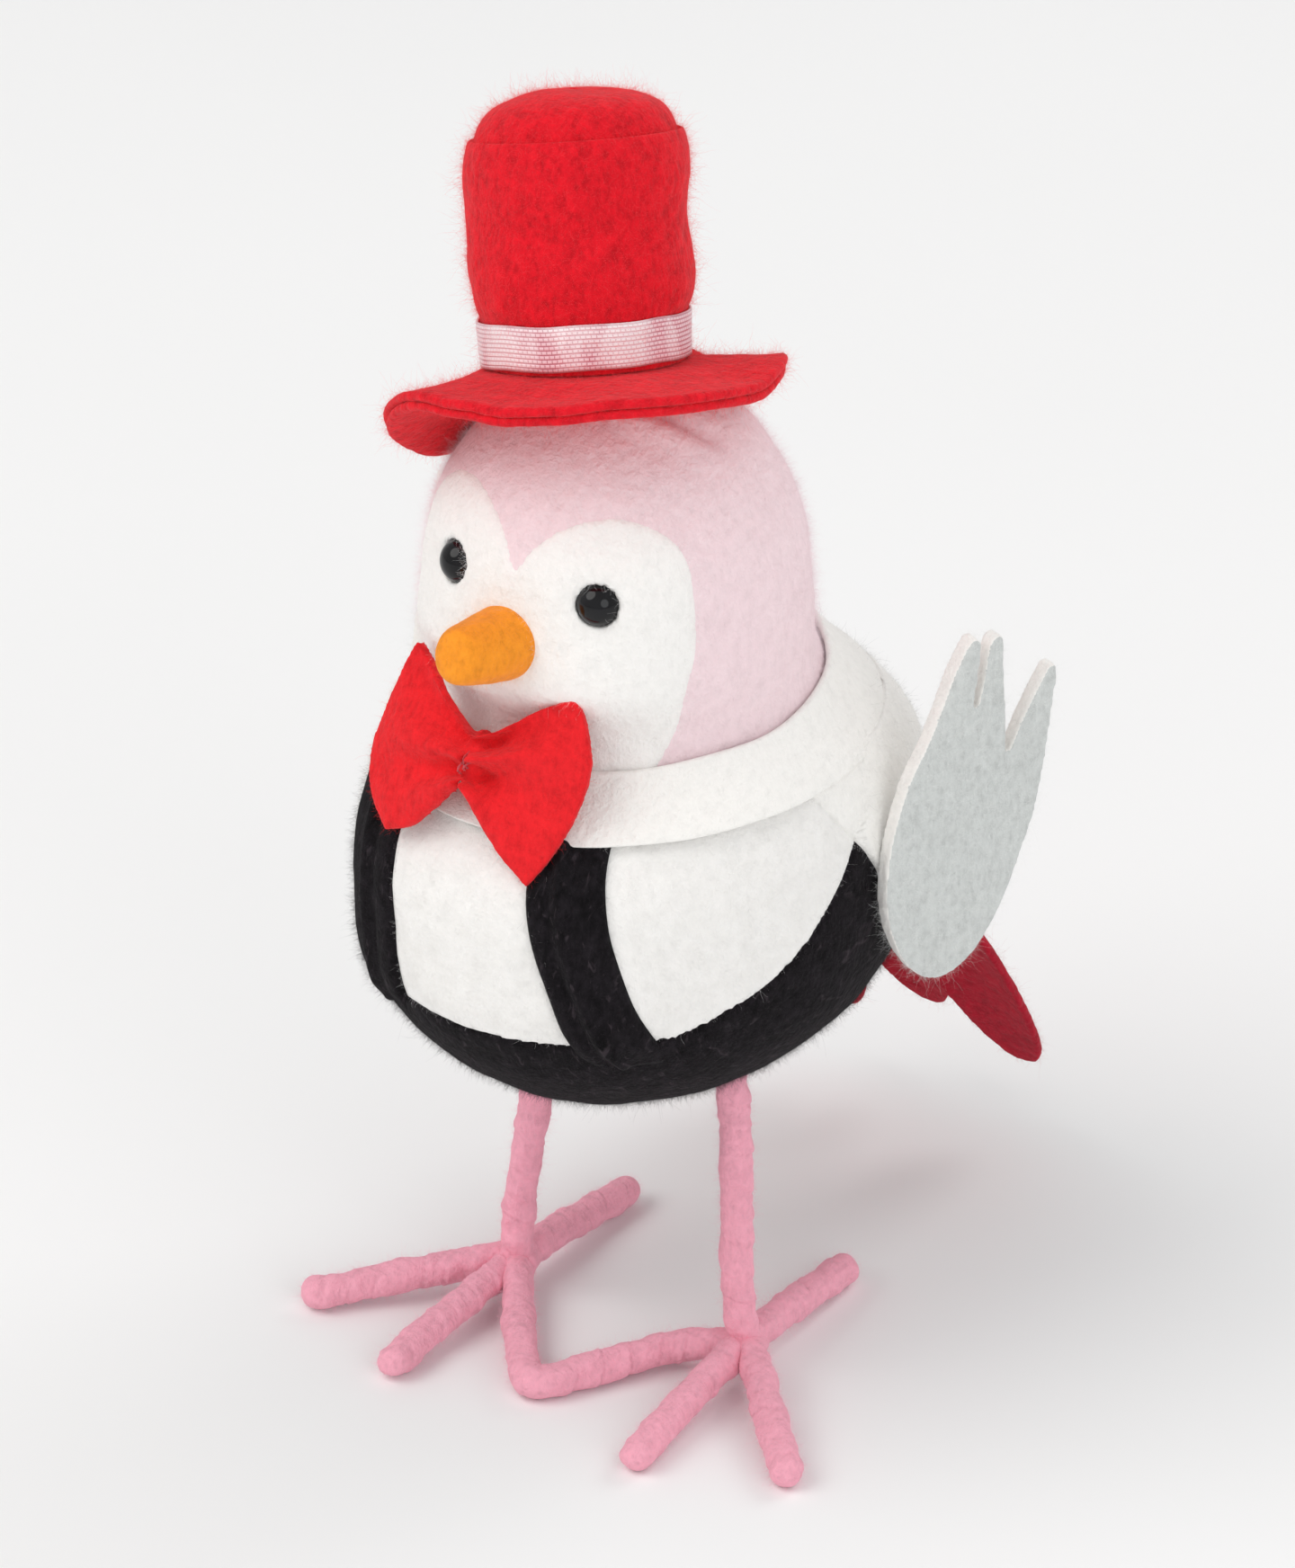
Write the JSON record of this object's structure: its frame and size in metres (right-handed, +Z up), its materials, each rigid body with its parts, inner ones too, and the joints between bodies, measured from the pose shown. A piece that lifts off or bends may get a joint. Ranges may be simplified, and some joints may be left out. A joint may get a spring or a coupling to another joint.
{
  "type": "felt bird figurine",
  "caption": "Stuffed felt songbird in a top hat, collar and bow tie, free-standing on wire-cored legs, with wings, tail and legs that bend.",
  "frame": {"origin": "on the ground, under the middle of the whole bird, between the feet and behind the bow tie", "axes": "+Z up, -Y the way the bird faces, +X the bird's left"},
  "size_m": [0.0942, 0.1205, 0.1889],
  "materials": {
    "pink_fleece": "brushed fleece",
    "white_fleece": "brushed fleece",
    "white_felt": "matte felt",
    "black_felt": "matte felt",
    "bow_felt": "matte felt",
    "hat_felt": "matte felt",
    "tail_felt": "matte felt",
    "wing_felt": "pressed felt",
    "beak_felt": "matte felt",
    "leg_fleece": "wound fleece strip",
    "ribbon": "satin weave",
    "bow_thread": "twisted thread",
    "wing_thread": "twisted thread",
    "tail_thread": "twisted thread",
    "stuffing": "fibre filling",
    "bead": "polished",
    "wire": "drawn wire"
  },
  "bodies": {
    "body": {"beak": "beak_felt", "bow_thread": "bow_thread", "bow_tie": "bow_felt", "brim_lower": "hat_felt", "brim_upper": "hat_felt", "collar": "white_felt", "face_mask": "white_fleece", "hat_crown": "hat_felt", "hat_filling": "stuffing", "hat_ribbon": "ribbon", "hat_top": "hat_felt", "head_skin": "pink_fleece", "left_eye": "bead", "left_strap": "black_felt", "left_wing_thread": "wing_thread", "leg_anchor_wire": "wire", "right_eye": "bead", "right_strap": "black_felt", "right_wing_thread": "wing_thread", "shirt": "white_fleece", "stuffing": "stuffing", "tail_thread": "tail_thread", "trousers": "black_felt"},
    "left_wing": {"left_wing": "wing_felt"},
    "right_wing": {"right_wing": "wing_felt"},
    "tail": {"left_tail_feather": "tail_felt", "middle_tail_feather": "tail_felt", "right_tail_feather": "tail_felt"},
    "legs": {"bridge_wire": "wire", "bridge_wrap": "leg_fleece", "left_ankle_wrap": "leg_fleece", "left_back_toe_wrap": "leg_fleece", "left_leg_wire": "wire", "left_leg_wrap": "leg_fleece", "left_middle_toe_wrap": "leg_fleece", "left_outer_toe_wrap": "leg_fleece", "left_toe_wire": "wire", "right_ankle_wrap": "leg_fleece", "right_back_toe_wrap": "leg_fleece", "right_leg_wire": "wire", "right_leg_wrap": "leg_fleece", "right_middle_toe_wrap": "leg_fleece", "right_outer_toe_wrap": "leg_fleece", "right_toe_wire": "wire"}
  },
  "joints": [
    {"name": "left_wing_flap", "type": "hinge", "parent": "body", "child": "left_wing", "pos_m": [0.03554, -0.01521, 0.084], "axis": [0, 0, -1], "range_deg": [-8, 35], "stiffness_Nm_per_rad": 0.02},
    {"name": "right_wing_flap", "type": "hinge", "parent": "body", "child": "right_wing", "pos_m": [-0.04235, -0.01544, 0.084], "axis": [0, 0, 1], "range_deg": [-4, 45], "stiffness_Nm_per_rad": 0.02},
    {"name": "tail_lift", "type": "hinge", "parent": "body", "child": "tail", "pos_m": [-0.0037, 0.0249, 0.066], "axis": [1, 0, 0], "range_deg": [-20, 20], "stiffness_Nm_per_rad": 0.05},
    {"name": "leg_bend", "type": "hinge", "parent": "body", "child": "legs", "pos_m": [-0.0037, -0.0187, 0.047], "axis": [1, 0, 0], "range_deg": [-12, 12]}
  ]
}
